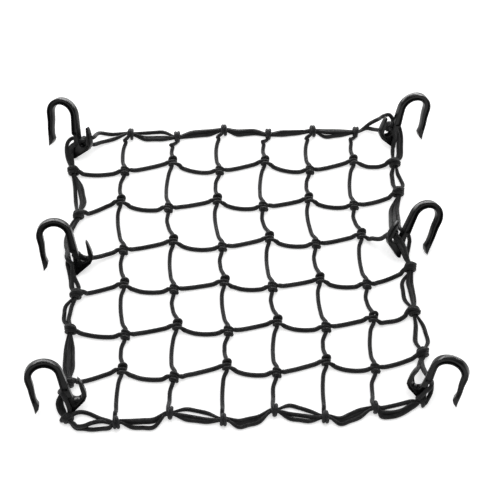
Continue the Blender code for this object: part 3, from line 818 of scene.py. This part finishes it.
def braided_cord_material(name, dark, light, radius):
    """Braided polyester over rubber strands: matt, with a painted highlight on the turn of each yarn and
    painted shade between the yarns, over random patches of tone.
    """
    carriers = 8                               # yarns each way round the sheath
    pitch = 2 * math.pi * radius / carriers    # metres along for one yarn, which crosses at 45 degrees
    material, tree, shader = new_material(name)
    place = node(tree, "ShaderNodeTexCoord")
    split = node(tree, "ShaderNodeSeparateXYZ", {0: place.outputs["UV"]})
    around = node(tree, "ShaderNodeMath", {0: split.outputs[0], 1: carriers}, operation="MULTIPLY")
    along = node(tree, "ShaderNodeMath", {0: split.outputs[1], 1: pitch}, operation="DIVIDE")
    left = node(tree, "ShaderNodeMath", {0: around.outputs[0], 1: along.outputs[0]}, operation="ADD")
    right = node(tree, "ShaderNodeMath", {0: along.outputs[0], 1: around.outputs[0]}, operation="SUBTRACT")
    ridges, cells = [], []
    for way in (left, right):
        turn = node(tree, "ShaderNodeMath", {0: way.outputs[0], 1: math.pi}, operation="MULTIPLY")
        wave = node(tree, "ShaderNodeMath", {0: turn.outputs[0]}, operation="SINE")
        ridges.append(node(tree, "ShaderNodeMath", {0: wave.outputs[0]}, operation="ABSOLUTE"))
        cells.append(node(tree, "ShaderNodeMath", {0: way.outputs[0]}, operation="FLOOR"))
    cell = node(tree, "ShaderNodeMath", {0: cells[0].outputs[0], 1: cells[1].outputs[0]}, operation="ADD")
    over = node(tree, "ShaderNodeMath", {0: cell.outputs[0], 1: 2.0}, operation="FLOORED_MODULO")
    yarn = node(tree, "ShaderNodeMix", {
        0: over.outputs[0], 2: ridges[0].outputs[0], 3: ridges[1].outputs[0]}, data_type="FLOAT")
    fibres = node(tree, "ShaderNodeTexNoise", {
        "Vector": place.outputs["Object"], "Scale": 1 / (0.35 * MM), "Detail": 2.0})
    height = node(tree, "ShaderNodeMath", {
        0: fibres.outputs["Fac"], 1: 0.25, 2: yarn.outputs[0]}, operation="MULTIPLY_ADD")
    patches = node(tree, "ShaderNodeTexNoise", {
        "Vector": place.outputs["Object"], "Scale": 1 / (22 * MM), "Detail": 3.0})
    # Painted highlight and shade: the base colour is lighter on each yarn's crown and darker in the grooves,
    # mixed with random patches
    painted_yarn_highlight_and_patches = node(tree, "ShaderNodeMath", {
        0: yarn.outputs[0], 1: 0.55, 2: patches.outputs["Fac"]}, operation="MULTIPLY_ADD")
    painted_highlight_and_patch_tone = node(tree, "ShaderNodeMapRange", {
        "Value": painted_yarn_highlight_and_patches.outputs[0], "From Min": 0.35, "From Max": 1.20})
    paint = node(tree, "ShaderNodeMix", {
        0: painted_highlight_and_patch_tone.outputs[0], 6: colour(dark), 7: colour(light)}, data_type="RGBA")
    tree.links.new(paint.outputs[2], shader.inputs["Base Color"])
    rough = node(tree, "ShaderNodeMapRange", {
        "Value": fibres.outputs["Fac"], "To Min": 0.44, "To Max": 0.60})
    tree.links.new(rough.outputs[0], shader.inputs["Roughness"])
    bump = node(tree, "ShaderNodeBump", {
        "Height": height.outputs[0], "Strength": 0.8, "Distance": 0.00022})
    tree.links.new(bump.outputs[0], shader.inputs["Normal"])
    shader.inputs["IOR"].default_value = 1.54
    shader.inputs["Metallic"].default_value = 0.0
    shader.inputs["Specular IOR Level"].default_value = 0.20
    shader.inputs["Sheen Weight"].default_value = 0.04
    shader.inputs["Sheen Roughness"].default_value = 0.45
    return material


def moulded_nylon_material():
    """Glass-smooth mould finish on black nylon: deep black, sharp edge lights, faint flow and scuffs."""
    material, tree, shader = new_material("injection_moulded_black_nylon")
    place = node(tree, "ShaderNodeTexCoord")
    flow = node(tree, "ShaderNodeTexNoise", {
        "Vector": place.outputs["Object"], "Scale": 1 / (6 * MM), "Detail": 2.0})
    grain = node(tree, "ShaderNodeTexNoise", {
        "Vector": place.outputs["Object"], "Scale": 1 / (0.8 * MM), "Detail": 3.0})
    paint = node(tree, "ShaderNodeMix", {
        0: flow.outputs["Fac"], 6: colour("#030304"), 7: colour("#070708")}, data_type="RGBA")
    tree.links.new(paint.outputs[2], shader.inputs["Base Color"])
    wear = node(tree, "ShaderNodeMath", {
        0: grain.outputs["Fac"], 1: 0.5, 2: flow.outputs["Fac"]}, operation="MULTIPLY_ADD")
    rough = node(tree, "ShaderNodeMapRange", {
        "Value": wear.outputs[0], "From Min": 0.5, "From Max": 1.0, "To Min": 0.20, "To Max": 0.36})
    tree.links.new(rough.outputs[0], shader.inputs["Roughness"])
    bump = node(tree, "ShaderNodeBump", {
        "Height": wear.outputs[0], "Strength": 0.35, "Distance": 0.00006})
    tree.links.new(bump.outputs[0], shader.inputs["Normal"])
    shader.inputs["IOR"].default_value = 1.53
    shader.inputs["Specular IOR Level"].default_value = 0.20
    shader.inputs["Metallic"].default_value = 0.0
    return material


def floor_material():
    """Opal acrylic of a photographer's light table: white and even, lit faintly from below."""
    material, tree, shader = new_material("opal_acrylic_light_table")
    place = node(tree, "ShaderNodeTexCoord")
    mottle = node(tree, "ShaderNodeTexNoise", {
        "Vector": place.outputs["Object"], "Scale": 1 / (60 * MM), "Detail": 2.0})
    paint = node(tree, "ShaderNodeMix", {
        0: mottle.outputs["Fac"], 6: colour("#F8F8F8"), 7: colour("#FCFCFC")}, data_type="RGBA")
    tree.links.new(paint.outputs[2], shader.inputs["Base Color"])
    shader.inputs["IOR"].default_value = 1.49
    shader.inputs["Roughness"].default_value = 0.9
    shader.inputs["Emission Color"].default_value = colour("#FFFFFF")
    shader.inputs["Emission Strength"].default_value = 0.50
    return material


# Studio

# A separate program fitted the elevation, lens and shift, which were then rounded.
VIEW_ELEVATION = 57.4
VIEW_DISTANCE = 1.5
LENS = 91.37
SENSOR = 36.0
VIEW_SHIFT = (0.0096, 0.0304)
FLOOR_REACH = 12.0                             # metres from the floor's middle to its edges
WORLD_STRENGTH = 0.20


def add_camera():
    data = bpy.data.cameras.new("camera")
    data.lens = LENS
    data.sensor_width = SENSOR
    data.shift_x, data.shift_y = VIEW_SHIFT
    camera = bpy.data.objects.new("camera", data)
    elevation = math.radians(VIEW_ELEVATION)
    back_off = Vector((0.0, -math.cos(elevation), math.sin(elevation))) * VIEW_DISTANCE
    camera.location = TO_ORIGIN + back_off
    camera.rotation_euler = (-back_off).to_track_quat("-Z", "Y").to_euler()
    bpy.context.scene.collection.objects.link(camera)
    bpy.context.scene.camera = camera


def add_light(name, location, size, radiance):
    """A soft panel that faces the net. radiance: how bright its face is, 1 being white paper."""
    data = bpy.data.lights.new(name, "AREA")
    data.shape = "RECTANGLE"
    data.size, data.size_y = size
    data.energy = radiance * math.pi * size[0] * size[1]
    light = bpy.data.objects.new(name, data)
    light.location = location
    light.rotation_euler = (-Vector(location)).to_track_quat("-Z", "Y").to_euler()
    light.visible_camera = False
    bpy.context.scene.collection.objects.link(light)


def add_studio():
    floor = bmesh.new()
    bmesh.ops.create_grid(floor, x_segments=4, y_segments=4, size=FLOOR_REACH)
    mesh = bpy.data.meshes.new("studio_floor")
    floor.to_mesh(mesh)
    floor.free()
    mesh.materials.append(floor_material())
    sheet = bpy.data.objects.new("studio_floor", mesh)
    bpy.context.scene.collection.objects.link(sheet)
    world = bpy.data.worlds.new("soft_studio")
    world.use_nodes = True
    background = world.node_tree.nodes["Background"]
    background.inputs["Color"].default_value = (1.0, 1.0, 1.0, 1.0)
    background.inputs["Strength"].default_value = WORLD_STRENGTH
    bpy.context.scene.world = world
    add_light("overhead_softbox", (0.0, 0.15, 1.9), (1.8, 1.8), 2.3)
    add_light("rear_softbox", (0.0, 2.3, 0.34), (5.0, 0.55), 12.0)
    bpy.context.scene.view_settings.view_transform = "Standard"
    bpy.context.scene.view_settings.look = "None"


# The net

def make_cords():
    # The lighter colour of each pair is the painted highlight on the yarn crowns. The darker one is the
    # cord's black and the painted shade between its yarns.
    cross_look = braided_cord_material("braided_polyester_black", "#050506", "#2B2B2C", CROSS_CORD)
    # The down cords get lighter colours than the cross cords: painted highlight for the light along their
    # tops
    down_look = braided_cord_material("braided_polyester_black_painted_highlight", "#121213", "#353537", DOWN_CORD)
    border_look = braided_cord_material("braided_polyester_black_border", "#050506", "#2F2F30", BORDER_CORD)
    for row in range(1, LAST_ROW):
        cords_piece(
            f"knotted_cross_cord_{row}", [cross_cord_route(row)], cross_look,
            f"cross_cord_{row}")
    for column in range(1, LAST_COLUMN):
        cords_piece(
            f"knotted_down_cord_{column}", [down_cord_route(column)], down_look,
            f"down_cord_{column}")
    for side in ("left", "right"):
        routes = [side_border_route(side, strand) for strand in range(STRANDS)]
        routes += [corner_lashing(f"front_{side}"), corner_lashing(f"back_{side}")]
        cords_piece(f"border_cords_{side}", routes, border_look, f"border_{side}")
    for side in ("back", "front"):
        routes = [cross_border_route(side, strand) for strand in range(STRANDS)]
        cords_piece(f"border_cords_{side}", routes, border_look, f"border_{side}")


def make_hooks():
    nylon = moulded_nylon_material()
    for place, hook in HOOKS.items():
        hook_piece(place, hook, nylon)


add_camera()
make_cords()
make_hooks()
add_studio()
